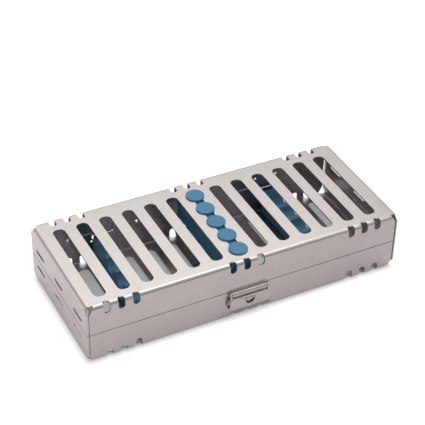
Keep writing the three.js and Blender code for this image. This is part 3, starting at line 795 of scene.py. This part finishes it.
def makeFloor():
    look = {"half": 4.0, "low": -0.00005, "colour": (0.71, 0.69, 0.71, 1), "lift": 0.77, "shadedLiftUnderCase": 0.2,
            "edge": 0.006, "caseX": 0.090, "caseY": 0.0375,
            "share": 0.350, "mirrorGlowFall": 0.84, "leftMirrorGlow": 0.16, "leftFade": 0.01,
            "mirrored": (1.0, 0.935, 0.985, 1)}
    half = look["half"]
    mesh = bpy.data.meshes.new("floor")
    corners = [(-half, -half, 0), (half, -half, 0), (half, half, 0), (-half, half, 0)]
    mesh.from_pydata(corners, [], [(0, 1, 2, 3)])
    floor = plainObject("floor", mesh)
    floor.location.z = look["low"]
    material, g = newMaterial("paleTable")
    where = g.add("ShaderNodeTexCoord", {}, {}, output="Object")
    x = g.add("ShaderNodeSeparateXYZ", {}, [where], output="X")
    y = g.add("ShaderNodeSeparateXYZ", {}, [where], output="Y")
    beyondX, beyondY = x.maths("ABSOLUTE") - look["caseX"], y.maths("ABSOLUTE") - look["caseY"]
    beyond = beyondX.maths("MAXIMUM", beyondY)  # how far past the case's sides
    away = (beyond / look["edge"] + 0.5).clamped()
    seen = g.add("ShaderNodeLightPath", {}, {}, output="Is Camera Ray")
    mirrored = g.add("ShaderNodeLightPath", {}, {}, output="Is Glossy Ray")
    through = g.add("ShaderNodeLightPath", {}, {}, output="Is Transmission Ray")
    beside = ((-look["caseX"] - x) / look["leftFade"]).clamped()  # painted reflection: mirrored rays see the table glow brighter at the left of the case, so the metal there mirrors more light
    # painted reflection: the glow that the metal mirrors also falls from left to right
    share = (look["share"] - x * look["mirrorGlowFall"] + beside * look["leftMirrorGlow"]).clamped()
    shown = seen + through + mirrored * share
    # painted shade: beneath the case the glow drops to its under-case level, so the table seen through the
    # slots reads as shaded
    lift = away * (look["lift"] - look["shadedLiftUnderCase"]) + look["shadedLiftUnderCase"]
    matt = g.add("ShaderNodeBsdfDiffuse", {}, {"Color": look["colour"]})
    # painted reflection colour: only mirrored rays see the glow tinted pink
    mirrorGlowTint = g.mixColours(mirrored, (1, 1, 1, 1), look["mirrored"])
    glow = g.add("ShaderNodeEmission", {}, {"Color": mirrorGlowTint, "Strength": shown * lift})
    both = g.add("ShaderNodeAddShader", {}, [matt, glow])
    g.add("ShaderNodeOutputMaterial", {}, {"Surface": both})
    mesh.materials.append(material)


def makeWorld():
    look = {"light": 0.52, "mirror": 0.66, "darkSide": (0.3, -0.94, 0.16), "darkFrom": 0.84,
            "darkTo": 0.96, "dark": 0.55}
    world = bpy.data.worlds.new("studio")
    world.use_nodes = True
    world.node_tree.nodes.clear()
    g = Graph(world.node_tree)
    seen = g.add("ShaderNodeLightPath", {}, {}, output="Is Camera Ray")
    mirrored = g.add("ShaderNodeLightPath", {}, {}, output="Is Glossy Ray")
    towards = g.add("ShaderNodeTexCoord", {}, {}, output="Generated")
    along = g.add("ShaderNodeVectorMath", {"operation": "DOT_PRODUCT"}, [towards, look["darkSide"]],
                  output="Value")
    shade = 1 - ((along - look["darkFrom"]) / (look["darkTo"] - look["darkFrom"])).clamped() * look["dark"]
    level = seen * (1 - look["light"]) + mirrored * (shade * look["mirror"] - look["light"]) + look["light"]
    back = g.add("ShaderNodeBackground", {}, {"Color": (1, 1, 1, 1), "Strength": level})
    g.add("ShaderNodeOutputWorld", {}, {"Surface": back})
    bpy.context.scene.world = world


def panelLamp(name, place, size, radiance):
    lamp = bpy.data.lights.new(name, "AREA")
    lamp.shape, lamp.size = "SQUARE", size
    lamp.energy = radiance * math.pi * size ** 2
    thing = bpy.data.objects.new(name, lamp)
    thing.location = place
    thing.rotation_euler = (-Vector(place)).to_track_quat("-Z", "Y").to_euler()
    bpy.context.scene.collection.objects.link(thing)


def makeCamera():
    view = {"place": (-0.27168, -0.51507, 0.483008), "azimuth": -27.5917, "elevation": 37.2398, "roll": 1.402,
            "lens": 117.79, "sensor": 36, "clip": (0.01, 20)}
    a, e, r = (math.radians(view[key]) for key in ("azimuth", "elevation", "roll"))
    back = Vector((math.cos(e) * math.sin(a), -math.cos(e) * math.cos(a), math.sin(e)))
    level = Vector((0, 0, 1)).cross(back).normalized()
    right = level * math.cos(r) + back.cross(level) * math.sin(r)
    camera = bpy.data.cameras.new("photoCamera")
    camera.lens, camera.sensor_width = view["lens"], view["sensor"]
    camera.clip_start, camera.clip_end = view["clip"]
    thing = bpy.data.objects.new("photoCamera", camera)
    turned = Matrix((right, back.cross(right), back)).transposed().to_4x4()
    thing.matrix_world = Matrix.Translation(view["place"]) @ turned
    bpy.context.scene.collection.objects.link(thing)
    bpy.context.scene.camera = thing


makeFloor()
makeWorld()
panels = {  # place, size and radiance
    "backPanel": ((0.25, 0.92, 1.40), 1.2, 0.9),
    "topPanel": ((0.30, 0.25, 1.2), 0.7, 1.9),
    "sidePanel": ((1.1, -0.45, 0.75), 0.8, 1.8),
}
for name, (place, size, radiance) in panels.items():
    panelLamp(name, place, size, radiance)
makeCamera()
bpy.context.scene.view_settings.view_transform = "Standard"
print("studio set")
